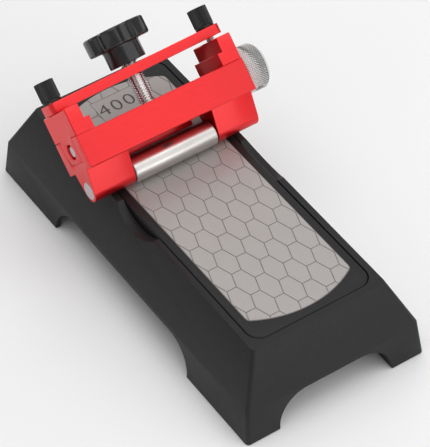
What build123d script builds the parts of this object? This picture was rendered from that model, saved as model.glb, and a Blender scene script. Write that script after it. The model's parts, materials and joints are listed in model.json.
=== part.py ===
from build123d import *
import os
from math import acos, atan2, cos, radians, sin, tan

# A roller honing guide standing on a double-sided diamond stone in its bench stand.
# Frame: origin at bench level under the middle of the stand, X along the stone,
# Y across it and Z up.  Millimetres.

# Stand
stand_length = 206.7
stand_width = 94.7
skirt_top_length = 202.1
skirt_top_width = 91.0
stand_top_length = 181.2
stand_top_width = 69.8
skirt_height = 19.3
stand_height = 42.6
stand_corner = 2.0
wall = 2.6
inner_corner = 2.0
hollow_top = 33.0
side_arch = 111.0
end_arch = 60.0
arch_height = 16.5
arch_corner = 15.5
scoop_radius = 24.0
scoop_depth = 5.3
scoop_x = -2.5
rib = 2.2
rib_bottom = 18.0
cross_ribs = (-60.0, 0.0, 60.0)
long_ribs = (-18.0, 18.0)
seat_gap = 0.02

# Foot pads
pad_diameter = 13.0
pad_thickness = 1.6
pad_proud = 0.5
post_size = 26.0
post_height = 9.0
foot_x = 90.0
foot_y = 37.5

# Double-sided stone
stone_length = 173.6
stone_width = 63.0
stone_thickness = 18.5
stone_corner = 7.0
stone_clearance = 0.3
sheet_width = 54.8
sheet_straight = 149.6
sheet_bulge = 8.0
sheet_thickness = 0.9
sheet_proud = 0.2
sheet_corner = 3.0
stone_face = stand_height + sheet_proud

# Place of the honing guide on the stone: roller axis, leaning back onto its rest rib
guide_x = -25.2
guide_y = -0.8
guide_lean = 48.0

# Roller, axle and blind bushes
roller_diameter = 12.0
roller_length = 44.0
axle_diameter = 5.0
bush_diameter = 8.8
bush_length = 14.0
bush_bore_depth = 10.0
running = 0.05

# Guide frame, in guide axes: x to the front, y across, z along the clamp screw
frame_half_width = 44.0
frame_front = 16.8
frame_rear = -14.0
wall_top = 24.8
wall_bottom = 9.2
channel_front = 9.7
channel_rear = -6.9
channel_floor = 13.0
arm_inner = 22.4
arm_front = 10.1
arm_rear = -6.7
arm_end_radius = 5.4
arm_end_x = 0.6
rest_rib_depth = 2.6
rest_rib_half = 20.0
edge_break = 0.4

# Lead screw and its centre block
screw_x = 1.4
screw_z = 19.0
screw_diameter = 6.0
screw_left = -43.4
block_half = 5.0
block_top = 22.9
clip_diameter = 9.0
clip_thickness = 0.8
clip_groove = 5.0
clip_mouth = 3.4
end_gap = 0.1
block_screw_spread = 5.6
block_screw_diameter = 3.0
block_screw_head = 1.6
block_screw_depth = 6.5
clearance_hole = 3.2

# Knurled knob
knob_diameter = 22.0
knob_start = 45.4
knob_end = 57.0
knob_bevel = 1.5
set_screw_diameter = 3.0
set_screw_length = 5.0
set_screw_angle = -74.0

# Stepped jaws
jaw_top = 37.7
jaw_step = 30.8
jaw_lower_face = 34.1
jaw_upper_face = 36.8
jaw_front = 16.3
jaw_gap = 0.05
counterbore_diameter = 7.6
counterbore_depth = 2.0

# Thumb screws and washers
thumb_y = 41.2
thumb_x = -0.4
stud_diameter = 4.0
stud_depth = 8.0
thumb_diameter = 9.4
thumb_height = 9.0
washer_diameter = 9.0
washer_thickness = 1.1
jaw_travel = 20.0

# Bridge bar
bar_half = 45.6
bar_depth = 13.9
bar_thickness = 4.7
bar_corner = 2.5
bar_cock = 1.0
slot_width = 4.5
slot_start = 14.0
slot_end = 43.5

# Clamp screw, star knob and swivel tip
clamp_diameter = 8.0
clamp_tip_diameter = 8.4
clamp_tip_height = 1.7
clamp_tip_bottom = 23.35
star_radius = 15.7
star_height = 9.0
star_bottom = 53.2
star_lobes = 6
star_scallop = 4.4
star_scallop_centre = 17.0
star_lobe_fillet = 1.6
stem_diameter = 17.8
stem_bottom = 44.6

guide = Location((guide_x, guide_y, stone_face + roller_diameter / 2), (0, -guide_lean, 0))
bar_left_bottom = jaw_top + seat_gap
bar_middle = bar_left_bottom + frame_half_width * tan(radians(bar_cock)) + 0.01
bridge = guide * Location((0, 0, bar_middle), (bar_cock, 0, 0))


def rounded_frustum(length_0, width_0, z_0, length_1, width_1, z_1, corner):
    lower = Plane.XY.offset(z_0) * RectangleRounded(length_0, width_0, corner)
    upper = Plane.XY.offset(z_1) * RectangleRounded(length_1, width_1, corner)
    return loft([lower, upper], ruled=True)


def block(x_0, x_1, y_0, y_1, z_0, z_1):
    middle = ((x_0 + x_1) / 2, (y_0 + y_1) / 2, (z_0 + z_1) / 2)
    return Pos(*middle) * Box(x_1 - x_0, y_1 - y_0, z_1 - z_0)


def rod_y(diameter, y_0, y_1, x=0.0, z=0.0):
    return Pos(x, (y_0 + y_1) / 2, z) * Rot(90, 0, 0) * Cylinder(diameter / 2, y_1 - y_0)


def rod_z(diameter, z_0, z_1, x=0.0, y=0.0):
    return Pos(x, y, (z_0 + z_1) / 2) * Cylinder(diameter / 2, z_1 - z_0)


def arch_cutter(width, depth, along_x):
    profile = Pos(0, (arch_height - width) / 2) * Rectangle(width, arch_height + width)
    profile = fillet(profile.vertices().group_by(Axis.Y)[-1], arch_corner)
    plane = Plane.YZ if along_x else Plane.XZ
    return extrude(plane * profile, depth / 2, both=True)


def stand_shell():
    skirt = rounded_frustum(stand_length, stand_width, pad_proud,
                            skirt_top_length, skirt_top_width, skirt_height, stand_corner)
    hood = rounded_frustum(skirt_top_length, skirt_top_width, skirt_height,
                           stand_top_length, stand_top_width, stand_height, stand_corner)
    inset = 2 * wall
    hollow_skirt = rounded_frustum(stand_length - inset, stand_width - inset, 0,
                                   skirt_top_length - inset, skirt_top_width - inset,
                                   skirt_height, inner_corner)
    rise = (hollow_top - skirt_height) / (stand_height - skirt_height)
    hollow_length = skirt_top_length + rise * (stand_top_length - skirt_top_length)
    hollow_width = skirt_top_width + rise * (stand_top_width - skirt_top_width)
    hollow_hood = rounded_frustum(skirt_top_length - inset, skirt_top_width - inset, skirt_height,
                                  hollow_length - inset, hollow_width - inset,
                                  hollow_top, inner_corner)
    tray_floor = stand_height - stone_thickness - seat_gap
    tray_length = stone_length + 2 * stone_clearance
    tray_width = stone_width + 2 * stone_clearance
    tray_end = tray_length / 2 + wall
    tray_side = tray_width / 2 + wall
    tray_bottom = tray_floor - wall
    tray = block(-tray_end, tray_end, -tray_side, tray_side, tray_bottom, stand_height)
    ribs = Part()
    for x in cross_ribs:
        ribs += block(x - rib / 2, x + rib / 2, -tray_side, tray_side, rib_bottom, tray_bottom + 1)
    for y in long_ribs:
        ribs += block(-tray_end, tray_end, y - rib / 2, y + rib / 2, rib_bottom, tray_bottom + 1)
    posts = Part()
    for x in (-foot_x, foot_x):
        for y in (-foot_y, foot_y):
            posts += Pos(x, y) * block(-post_size / 2, post_size / 2, -post_size / 2,
                                       post_size / 2, -1, post_height)
    outside = skirt + hood
    shell = outside - (hollow_skirt + hollow_hood - tray - ribs - posts)
    recess = extrude(Plane.XY.offset(tray_floor) * RectangleRounded(
        tray_length, tray_width, stone_corner + stone_clearance), stand_height)
    shell -= recess
    shell -= arch_cutter(side_arch, 2 * stand_width, False)
    shell -= arch_cutter(end_arch, 2 * stand_length, True)
    scoop = rod_y(2 * scoop_radius, -stand_width, stand_width,
                  scoop_x, stand_height + scoop_radius - scoop_depth)
    shell -= scoop
    for x in (-foot_x, foot_x):
        for y in (-foot_y, foot_y):
            shell -= rod_z(pad_diameter, 0, pad_thickness, x, y)
    return shell


def foot_pad(x, y):
    return chamfer(rod_z(pad_diameter, 0, pad_thickness, x, y).edges().group_by(Axis.Z)[0], 0.4)


def sheet_outline():
    half_x = sheet_straight / 2
    half_y = sheet_width / 2
    corners = [(half_x, half_y), (-half_x, half_y), (-half_x, -half_y), (half_x, -half_y)]
    top = Line(corners[0], corners[1])
    left = ThreePointArc(corners[1], (-half_x - sheet_bulge, 0), corners[2])
    bottom = Line(corners[2], corners[3])
    right = ThreePointArc(corners[3], (half_x + sheet_bulge, 0), corners[0])
    face = make_face(Curve() + [top, left, bottom, right])
    return fillet(face.vertices(), sheet_corner)


def diamond_sheet(z_bottom):
    return extrude(Plane.XY.offset(z_bottom) * sheet_outline(), sheet_thickness)


sheet_sink = sheet_thickness - sheet_proud
fine_sheet_bottom = stand_height - stone_thickness


def stone_core():
    core_bottom = fine_sheet_bottom + sheet_proud
    body = extrude(Plane.XY.offset(core_bottom) * RectangleRounded(
        stone_length, stone_width, stone_corner), stand_height - core_bottom)
    body = chamfer(body.edges().group_by(Axis.Z)[-1], 0.5)
    body = chamfer(body.edges().group_by(Axis.Z)[0], 0.5)
    body -= diamond_sheet(stand_height - sheet_sink)
    return body - diamond_sheet(fine_sheet_bottom)


def roller():
    body = rod_y(roller_diameter, -roller_length / 2, roller_length / 2)
    body = chamfer(body.edges().filter_by(GeomType.CIRCLE), 0.5)
    return body - rod_y(axle_diameter + 2 * running, -roller_length, roller_length)


def roller_axle():
    half = frame_half_width - bush_length + bush_bore_depth - 0.5
    return chamfer(rod_y(axle_diameter, -half, half).edges().filter_by(GeomType.CIRCLE), 0.4)


def roller_bush(side):
    outer = frame_half_width + 0.1
    body = rod_y(bush_diameter, frame_half_width - bush_length, outer)
    rim = body.edges().filter_by(GeomType.CIRCLE).group_by(Axis.Y)[-1]
    body = chamfer(rim, 0.4)
    bore_end = frame_half_width - bush_length + bush_bore_depth
    body -= rod_y(axle_diameter + 2 * running, frame_half_width - bush_length - 1, bore_end)
    return body if side > 0 else mirror(body, Plane.XZ)


def slab(points, y_0, y_1):
    outline = make_face(Polyline(*points, close=True))
    return extrude(Plane.XZ.offset(-y_0) * outline, -(y_1 - y_0))


def arm_tangent(x, turn):
    reach = (Vector(x, wall_bottom) - Vector(arm_end_x, 0))
    angle = atan2(reach.Y, reach.X) + turn * acos(arm_end_radius / reach.length)
    return (arm_end_x + arm_end_radius * cos(angle), arm_end_radius * sin(angle))


def arm(side):
    cheeks = [(arm_rear, wall_bottom), (arm_rear, wall_bottom + 1), (arm_front, wall_bottom + 1),
              (arm_front, wall_bottom), arm_tangent(arm_front, -1), arm_tangent(arm_rear, 1)]
    body = slab(cheeks, arm_inner, frame_half_width)
    body += rod_y(2 * arm_end_radius, arm_inner, frame_half_width, arm_end_x)
    body -= rod_y(bush_diameter, frame_half_width - bush_length, frame_half_width + 1)
    body -= rod_y(axle_diameter + 1.4, arm_inner - 1, frame_half_width - bush_length + 1)
    return body if side > 0 else mirror(body, Plane.XZ)


def rest_rib():
    lean = radians(guide_lean)
    bottom = (frame_rear * sin(lean) + roller_diameter / 2 - seat_gap) / -cos(lean)
    return block(frame_rear, frame_rear + rest_rib_depth, -rest_rib_half, rest_rib_half,
                 bottom, wall_bottom)


def countersunk_head(spread, room):
    middle = wall_bottom + block_screw_head / 2
    radius = block_screw_diameter / 2
    return Pos(screw_x + spread, 0, middle) * Cone(2 * radius - 0.1 + room, radius + room,
                                                   block_screw_head)


def guide_frame():
    points = [(frame_rear, wall_bottom), (frame_front, wall_bottom), (frame_front, wall_top),
              (channel_front, wall_top), (channel_front, channel_floor),
              (channel_rear, channel_floor), (channel_rear, wall_top), (frame_rear, wall_top)]
    body = slab(points, -frame_half_width, frame_half_width)
    long_edges = body.edges().filter_by(Axis.Y)
    outer = [e for e in long_edges if e.center().Z > wall_top - 0.1
             or e.center().X > frame_front - 0.1 or e.center().X < frame_rear + 0.1]
    body = chamfer(outer, edge_break)
    body += rest_rib()
    body += arm(1)
    body += arm(-1)
    for spread in (-block_screw_spread, block_screw_spread):
        body -= rod_z(clearance_hole, wall_bottom - 4, channel_floor + 1, screw_x + spread)
        body -= countersunk_head(spread, 0.1)
    return body


def centre_block():
    body = block(channel_rear, channel_front, -block_half, block_half, channel_floor, block_top)
    body = chamfer(body.edges().group_by(Axis.Z)[-1], edge_break)
    body -= rod_y(screw_diameter + 2 * running, -block_half - 1, block_half + 1, screw_x, screw_z)
    for spread in (-block_screw_spread, block_screw_spread):
        body -= rod_z(block_screw_diameter, channel_floor - 1,
                      channel_floor + block_screw_depth + 0.5, screw_x + spread)
    return body


def block_screw(spread):
    shank = rod_z(block_screw_diameter, wall_bottom + block_screw_head,
                  channel_floor + block_screw_depth, screw_x + spread)
    socket = Pos(screw_x + spread, 0, wall_bottom) * extrude(RegularPolygon(1.0, 6), 1.2)
    return countersunk_head(spread, 0.0) + shank - socket


def lead_screw():
    body = rod_y(screw_diameter, screw_left, knob_end - 0.6, screw_x, screw_z)
    ends = body.edges().filter_by(GeomType.CIRCLE)
    body = chamfer(ends, 0.5)
    for side in (-1, 1):
        y_0 = side * (block_half + end_gap)
        y_1 = side * (block_half + end_gap + clip_thickness)
        groove = rod_y(screw_diameter + 2, min(y_0, y_1), max(y_0, y_1), screw_x, screw_z)
        groove -= rod_y(clip_groove, -block_half - 2, block_half + 2, screw_x, screw_z)
        body -= groove
    return body


def screw_clip(side):
    y_0 = block_half + end_gap
    ring = rod_y(clip_diameter, y_0, y_0 + clip_thickness, screw_x, screw_z)
    ring -= rod_y(clip_groove, y_0 - 1, y_0 + 2, screw_x, screw_z)
    ring -= block(screw_x - clip_mouth / 2, screw_x + clip_mouth / 2, 0, block_half + 4,
                  screw_z - clip_diameter, screw_z - 1)
    return ring if side > 0 else mirror(ring, Plane.XZ)


def set_screw_axis(radial):
    angle = radians(set_screw_angle)
    middle = (knob_start + knob_end) / 2 - 0.4
    return Location((screw_x + radial * cos(angle), middle, screw_z + radial * sin(angle)),
                    (0, 90 - set_screw_angle, 0))


def knurled_knob():
    body = rod_y(knob_diameter, knob_start, knob_end, screw_x, screw_z)
    rims = body.edges().filter_by(GeomType.CIRCLE).group_by(Axis.Y)
    body = chamfer(rims[-1], knob_bevel)
    rims = body.edges().filter_by(GeomType.CIRCLE).group_by(Axis.Y)
    body = chamfer(rims[0], 0.6)
    body -= rod_y(screw_diameter, knob_start - 1, knob_end + 1, screw_x, screw_z)
    length = (knob_diameter - screw_diameter) / 2
    hole = set_screw_axis(screw_diameter / 2 + length / 2)
    return body - hole * Cylinder(set_screw_diameter / 2, length + 1)


def knob_set_screw():
    middle = (screw_diameter + set_screw_length) / 2 + 0.3
    body = set_screw_axis(middle) * Cylinder(set_screw_diameter / 2, set_screw_length)
    socket = set_screw_axis(middle + set_screw_length / 2) * extrude(RegularPolygon(0.8, 6), 2, both=True)
    return body - socket


def jaw(side):
    tongue = block(channel_rear + jaw_gap, channel_front - jaw_gap, jaw_lower_face,
                   frame_half_width, channel_floor + jaw_gap, wall_top + 1)
    lower = block(frame_rear, jaw_front, jaw_lower_face, frame_half_width,
                  wall_top + jaw_gap, jaw_step)
    upper = block(frame_rear, jaw_front, jaw_upper_face, frame_half_width, jaw_step, jaw_top)
    head = lower + upper
    rims = head.edges().filter_by(Axis.X) + head.edges().filter_by(Axis.Z)
    rims = [e for e in rims if e.center().Y > frame_half_width - 0.1 or e.center().Z > jaw_top - 0.1]
    head = chamfer(rims, edge_break)
    body = head + tongue
    body -= rod_y(screw_diameter + 2 * running, jaw_lower_face - 1, frame_half_width + 1,
                  screw_x, screw_z)
    body -= rod_y(counterbore_diameter, frame_half_width - counterbore_depth,
                  frame_half_width + 1, screw_x, screw_z)
    body -= rod_z(stud_diameter + 2 * running, jaw_top - stud_depth - 1, jaw_top + 1,
                  thumb_x, thumb_y)
    return body if side > 0 else mirror(body, Plane.XZ)


def bar_top_at(y):
    lean = radians(bar_cock)
    return bar_middle + bar_thickness / cos(lean) + y * tan(lean)


def washer_bottom(side):
    # the left washer clears the cocked bar as its jaw moves in, under the higher middle of the bar
    innermost = side * (thumb_y - jaw_travel) if side < 0 else thumb_y
    tilt = washer_diameter / 2 * tan(radians(bar_cock))
    return bar_top_at(innermost) + tilt + seat_gap


def thumb_washer(side):
    bottom = washer_bottom(side)
    body = rod_z(washer_diameter, bottom, bottom + washer_thickness, thumb_x, side * thumb_y)
    return body - rod_z(stud_diameter + 0.4, 0, 60, thumb_x, side * thumb_y)


def thumb_stud(side):
    head = washer_bottom(side) + washer_thickness + seat_gap
    bottom = jaw_top - stud_depth
    body = rod_z(stud_diameter, bottom, head + thumb_height - 3, thumb_x, side * thumb_y)
    return chamfer(body.edges().filter_by(GeomType.CIRCLE), 0.5)


def thumb_head(side):
    bottom = washer_bottom(side) + washer_thickness + seat_gap
    body = rod_z(thumb_diameter, bottom, bottom + thumb_height, thumb_x, side * thumb_y)
    body = chamfer(body.edges().filter_by(GeomType.CIRCLE), 0.6)
    return body - thumb_stud(side)


def bridge_bar():
    plan = Pos(thumb_x, 0) * RectangleRounded(bar_depth, 2 * bar_half, bar_corner)
    body = extrude(plan, bar_thickness)
    slot_length = slot_end - slot_start
    slot_middle = (slot_start + slot_end) / 2
    for side in (-1, 1):
        slot = Pos(thumb_x, side * slot_middle) * Rot(0, 0, 90) * SlotOverall(slot_length, slot_width)
        body -= extrude(slot, bar_thickness)
    body -= rod_z(clamp_diameter + 2 * running, -1, bar_thickness + 1, thumb_x)
    return body


def clamp_screw():
    bottom = clamp_tip_bottom + clamp_tip_height + 0.05 - bar_middle
    body = rod_z(clamp_diameter, bottom, star_bottom + 5 - bar_middle, thumb_x)
    return chamfer(body.edges().filter_by(GeomType.CIRCLE), 0.5)


def clamp_tip():
    bottom = clamp_tip_bottom - bar_middle
    body = rod_z(clamp_tip_diameter, bottom, bottom + clamp_tip_height, thumb_x)
    return chamfer(body.edges().group_by(Axis.Z)[0], 0.4)


def star_knob():
    outline = Circle(star_radius)
    for index in range(star_lobes):
        angle = 360 / star_lobes * index
        outline -= Rot(0, 0, angle) * Pos(star_scallop_centre, 0) * Circle(star_scallop)
    outline = fillet(outline.vertices(), star_lobe_fillet)
    bottom = star_bottom - bar_middle
    lobes = extrude(Plane.XY.offset(bottom) * outline, star_height)
    flat_rims = lobes.edges().group_by(Axis.Z)
    lobes = chamfer(flat_rims[-1] + flat_rims[0], 0.5)
    stem = rod_z(stem_diameter, stem_bottom - bar_middle, bottom + 1)
    knob = Pos(thumb_x, 0) * (lobes + stem)
    return knob - clamp_screw()


def place_all():
    nodes = {"stand_shell": stand_shell(), "stone_core": stone_core(),
             "diamond_sheet_coarse": diamond_sheet(stand_height - sheet_sink),
             "diamond_sheet_fine": diamond_sheet(fine_sheet_bottom)}
    for end, x in (("far", -foot_x), ("near", foot_x)):
        for hand, y in (("left", -foot_y), ("right", foot_y)):
            nodes["foot_pad_" + end + "_" + hand] = foot_pad(x, y)
    in_guide = {"guide_frame": guide_frame(), "roller": roller(), "roller_axle": roller_axle(),
                "centre_block": centre_block(), "lead_screw": lead_screw(),
                "knurled_knob": knurled_knob(), "knob_set_screw": knob_set_screw(),
                "block_screw_rear": block_screw(-block_screw_spread),
                "block_screw_front": block_screw(block_screw_spread)}
    for hand, side in (("left", -1), ("right", 1)):
        in_guide["roller_bush_" + hand] = roller_bush(side)
        in_guide["screw_clip_" + hand] = screw_clip(side)
        in_guide["jaw_" + hand] = jaw(side)
        in_guide["thumb_washer_" + hand] = thumb_washer(side)
        in_guide["thumb_stud_" + hand] = thumb_stud(side)
        in_guide["thumb_head_" + hand] = thumb_head(side)
    for name, shape in in_guide.items():
        nodes[name] = guide * shape
    on_bridge = {"bridge_bar": bridge_bar(), "clamp_screw": clamp_screw(),
                 "clamp_tip": clamp_tip(), "star_knob": star_knob()}
    for name, shape in on_bridge.items():
        nodes[name] = bridge * shape
    return nodes


os.makedirs("parts", exist_ok=True)
for name, shape in place_all().items():
    solids = shape.solids()
    whole = solids[0] if len(solids) == 1 else Compound(solids)
    export_step(whole, "parts/" + name + ".step")
    print(name, len(solids), round(sum(s.volume for s in solids), 1))
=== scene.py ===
import json
import math
import bmesh
import bpy
from mathutils import Matrix, Vector


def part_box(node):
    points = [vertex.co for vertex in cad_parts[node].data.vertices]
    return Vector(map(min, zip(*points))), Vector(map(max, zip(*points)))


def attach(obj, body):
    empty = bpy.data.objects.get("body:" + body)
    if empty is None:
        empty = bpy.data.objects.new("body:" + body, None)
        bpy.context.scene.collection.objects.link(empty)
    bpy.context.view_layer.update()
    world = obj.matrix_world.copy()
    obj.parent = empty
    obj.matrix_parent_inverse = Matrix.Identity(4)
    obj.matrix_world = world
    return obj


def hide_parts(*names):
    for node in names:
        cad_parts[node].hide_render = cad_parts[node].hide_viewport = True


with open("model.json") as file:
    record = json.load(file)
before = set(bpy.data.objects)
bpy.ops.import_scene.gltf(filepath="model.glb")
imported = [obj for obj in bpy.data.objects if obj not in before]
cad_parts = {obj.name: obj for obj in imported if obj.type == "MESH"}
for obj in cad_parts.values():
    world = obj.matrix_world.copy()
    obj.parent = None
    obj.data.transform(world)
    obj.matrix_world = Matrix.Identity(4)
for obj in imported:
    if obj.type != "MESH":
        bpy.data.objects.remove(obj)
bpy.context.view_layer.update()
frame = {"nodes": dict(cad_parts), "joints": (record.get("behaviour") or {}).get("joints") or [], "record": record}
print("frame loaded with", len(frame["nodes"]), "nodes")

mm = 0.001  # sizes below are millimetres
fullTurn = 2 * math.pi
scene = bpy.context.scene
joints = {joint["name"]: joint for joint in frame["joints"]}


# places: local y runs across the guide, local z along the given axis
def placeAlong(origin, axis, across=(0, 1, 0)):
    z = Vector(axis).normalized()
    y = Vector(across) - Vector(across).dot(z) * z
    y.normalize()
    turn = Matrix((y.cross(z), y, z)).transposed().to_4x4()
    return Matrix.Translation(origin) @ turn @ Matrix.Scale(mm, 4)


def placeOfJoint(name):
    axis = joints[name]["axis"]
    across = (1, 0, 0) if abs(axis[1]) > 0.9 else (0, 1, 0)  # for an axis that is itself across the guide
    return placeAlong(joints[name]["pos_m"], axis, across)


rollerPlace = placeOfJoint("roller_spin")
leadPlace = placeOfJoint("lead_screw_turn")
clampPlace = placeOfJoint("clamp_screw_turn")
bodyOf = {node: body for body, members in frame["record"]["behaviour"]["bodies"].items()
          for node in members}


def span(node, place):
    inverse = place.inverted()
    points = [inverse @ vertex.co for vertex in frame["nodes"][node].data.vertices]
    low = Vector([min(point[axis] for point in points) for axis in range(3)])
    high = Vector([max(point[axis] for point in points) for axis in range(3)])
    return low, high


# a node with its sockets set or linked in one go
def addNode(tree, kind, inputs=None, **settings):
    made = tree.nodes.new(kind)
    for key, value in settings.items():
        setattr(made, key, value)
    for key, value in (inputs or {}).items():
        if isinstance(value, bpy.types.NodeSocket):
            tree.links.new(value, made.inputs[key])
        else:
            made.inputs[key].default_value = value
    return made


def startMaterial(name, metallic, stretch=(1, 1, 1)):
    material = bpy.data.materials.new(name)
    material.use_nodes = True
    tree = material.node_tree
    shader = tree.nodes["Principled BSDF"]
    shader.inputs["Metallic"].default_value = metallic
    coords = addNode(tree, "ShaderNodeTexCoord")
    mapping = addNode(tree, "ShaderNodeMapping", {"Vector": coords.outputs["Object"], "Scale": stretch})
    return material, tree, shader, mapping.outputs["Vector"]


def ramp(tree, factor, stops):
    made = addNode(tree, "ShaderNodeValToRGB", {"Fac": factor})
    elements = made.color_ramp.elements
    while len(elements) < len(stops):
        elements.new(0.5)
    for element, (position, color) in zip(elements, stops):
        element.position = position
        element.color = (*color, 1.0)
    return made.outputs["Color"]


def spread(tree, factor, low, high):
    return addNode(tree, "ShaderNodeMapRange", {"Value": factor, "To Min": low,
                                                "To Max": high}).outputs["Result"]


def dented(tree, shader, height, depth, strength):
    bump = addNode(tree, "ShaderNodeBump", {"Height": height, "Distance": depth * mm,
                                            "Strength": strength})
    tree.links.new(bump.outputs["Normal"], shader.inputs["Normal"])


def blend(tree, factor, first, second):
    made = addNode(tree, "ShaderNodeMix", {"Factor": factor}, data_type="RGBA")
    for socket, value in (("A_Color", first), ("B_Color", second)):
        target = next(item for item in made.inputs if item.identifier == socket)
        if isinstance(value, bpy.types.NodeSocket):
            tree.links.new(value, target)
        else:
            target.default_value = (*value, 1.0)
    return next(item for item in made.outputs if item.identifier == "Result_Color")


# the value of a noise pattern, 0 to 1
def noise(tree, vector, scale, detail=2.0, roughness=0.5):
    made = addNode(tree, "ShaderNodeTexNoise", {"Vector": vector, "Scale": scale, "Detail": detail,
                                                "Roughness": roughness})
    return made.outputs["Fac"]


def objectCoords(tree):
    return next(node for node in tree.nodes if node.type == "TEX_COORD").outputs["Object"]


# the lightest red below is a painted highlight, laid on the bevelled edges
anodising = {"deep": (0.72, 0.012, 0.016), "bright": (0.82, 0.017, 0.021), "worn": (1.0, 0.07, 0.08),
             "edgeTint": (1.0, 0.25, 0.28, 1.0), "brushing": 2600.0, "cloud": 55.0, "pits": 4200.0,
             "pitDepth": 0.012, "coat": 0.72, "coatRough": 0.2}


def makeAnodised(name, deep, bright, rough):
    material, tree, shader, vector = startMaterial(name, 1.0, (1, 0.04, 1))  # brushed across the guide
    shader.inputs["Specular Tint"].default_value = anodising["edgeTint"]
    shader.inputs["Coat Weight"].default_value = anodising["coat"]
    shader.inputs["Coat Roughness"].default_value = anodising["coatRough"]
    lines = noise(tree, vector, anodising["brushing"], 4.0, 0.6)
    cloud = noise(tree, objectCoords(tree), anodising["cloud"], 3.0)
    pits = noise(tree, objectCoords(tree), anodising["pits"])
    brushed = ramp(tree, lines, [(0.3, deep), (0.7, bright)])
    clouded = blend(tree, spread(tree, cloud, 0.0, 0.3), brushed, deep)
    tree.links.new(clouded, shader.inputs["Base Color"])
    tree.links.new(spread(tree, lines, *rough), shader.inputs["Roughness"])
    dented(tree, shader, pits, anodising["pitDepth"], 0.5)
    return material


moulding = {"grain": 1500.0, "cloud": 30.0, "scuffs": 260.0, "grainDepth": 0.035}


def makeMoulded(name, dark, pale, rough, specular, grain=1.0):
    material, tree, shader, vector = startMaterial(name, 0.0)
    shader.inputs["Specular IOR Level"].default_value = specular
    fine = noise(tree, vector, moulding["grain"], 3.0, 0.55)
    cloud = noise(tree, vector, moulding["cloud"], 4.0)
    scuffs = noise(tree, vector, moulding["scuffs"], 8.0, 0.75)
    tone = ramp(tree, fine, [(0.35, dark), (0.65, pale)])
    tone = blend(tree, spread(tree, cloud, 0.0, 0.5), tone, dark)
    tree.links.new(tone, shader.inputs["Base Color"])
    tree.links.new(spread(tree, scuffs, *rough), shader.inputs["Roughness"])
    dented(tree, shader, fine, moulding["grainDepth"] * grain, 0.6)
    return material


metalWork = {"smears": 140.0, "smearTone": 0.35}
alongAxle = (1, 0.1, 1)  # draws the turning lines out across the guide


def makeMetal(name, dark, pale, rough, lineScale, stretch=(1, 1, 1), metallic=1.0, depth=0.006):
    material, tree, shader, vector = startMaterial(name, metallic, stretch)
    lines = noise(tree, vector, lineScale, 5.0, 0.65)
    smears = noise(tree, objectCoords(tree), metalWork["smears"], 6.0, 0.7)
    tone = ramp(tree, lines, [(0.32, dark), (0.68, pale)])
    tone = blend(tree, spread(tree, smears, 0.0, metalWork["smearTone"]), tone, dark)
    tree.links.new(tone, shader.inputs["Base Color"])
    tree.links.new(spread(tree, smears, *rough), shader.inputs["Roughness"])
    dented(tree, shader, lines, depth, 0.5)
    return material


grit = {"body": (0.36, 0.336, 0.325), "pale": (0.45, 0.425, 0.41), "spark": (0.7, 0.67, 0.65),
        "grain": 5200.0, "cells": 3800.0, "wash": 90.0, "grainDepth": 0.03, "metallic": 0.35,
        "rough": (0.28, 0.62)}


def makeDiamondGrit():
    material, tree, shader, vector = startMaterial("diamondGrit", grit["metallic"])
    grain = noise(tree, vector, grit["grain"], 4.0, 0.7)
    wash = noise(tree, vector, grit["wash"], 6.0, 0.6)
    cells = addNode(tree, "ShaderNodeTexVoronoi", {"Vector": vector, "Scale": grit["cells"]})
    tone = ramp(tree, grain, [(0.3, grit["body"]), (0.62, grit["pale"])])
    tone = blend(tree, spread(tree, wash, 0.0, 0.6), tone, grit["body"])
    sparks = ramp(tree, cells.outputs["Distance"], [(0.0, (0.75, 0.75, 0.75)), (0.16, (0.0, 0.0, 0.0))])
    tone = blend(tree, sparks, tone, grit["spark"])
    tree.links.new(tone, shader.inputs["Base Color"])
    tree.links.new(spread(tree, cells.outputs["Distance"], *grit["rough"]), shader.inputs["Roughness"])
    dented(tree, shader, grain, grit["grainDepth"], 0.8)
    return material


redAnodised = makeAnodised("redAnodised", anodising["deep"], anodising["bright"], rough=(0.38, 0.52))
# bevel faces of the red parts get this lighter red: a painted highlight along every edge
redEdgeHighlight = makeAnodised("redAnodisedEdge", anodising["bright"], anodising["worn"], rough=(0.32, 0.45))
standPlastic = makeMoulded("standPlastic", dark=(0.010, 0.010, 0.011), pale=(0.018, 0.018, 0.019),
                           rough=(0.42, 0.6), specular=0.3)
# lighter plastic on the bevels of the stand and stone core: a painted edge highlight
standEdgeHighlight = makeMoulded("standPlasticEdge", dark=(0.018, 0.018, 0.019), pale=(0.03, 0.03, 0.031),
                        rough=(0.36, 0.52), specular=0.4)
corePlastic = makeMoulded("corePlastic", dark=(0.008, 0.008, 0.009), pale=(0.014, 0.014, 0.015),
                          rough=(0.36, 0.52), specular=0.3)
blackKnob = makeMoulded("blackKnob", dark=(0.010, 0.010, 0.011), pale=(0.016, 0.016, 0.017),
                        rough=(0.14, 0.26), specular=0.6, grain=0.15)
thumbBlack = makeMoulded("thumbBlack", dark=(0.010, 0.010, 0.011), pale=(0.017, 0.017, 0.018),
                         rough=(0.3, 0.45), specular=0.5)
footRubber = makeMoulded("footRubber", dark=(0.010, 0.010, 0.010), pale=(0.02, 0.02, 0.02),
                         rough=(0.7, 0.85), specular=0.2, grain=2.0)
numberInk = makeMoulded("numberInk", dark=(0.07, 0.066, 0.063), pale=(0.11, 0.104, 0.10),
                        rough=(0.5, 0.7), specular=0.3)
grooveGrey = makeMoulded("grooveGrey", dark=(0.16, 0.15, 0.145), pale=(0.23, 0.215, 0.205),
                         rough=(0.5, 0.7), specular=0.3)
polishedSteel = makeMetal("polishedSteel", dark=(0.50, 0.48, 0.46), pale=(0.64, 0.62, 0.60),
                          rough=(0.26, 0.36), lineScale=500.0, stretch=alongAxle, depth=0.0006)
# the pink tint of this steel is a painted reflection of the red anodised parts
turnedSteel = makeMetal("turnedSteel", dark=(0.48, 0.44, 0.45), pale=(0.60, 0.56, 0.57),
                        rough=(0.24, 0.38), lineScale=900.0, stretch=alongAxle, depth=0.002)
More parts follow.
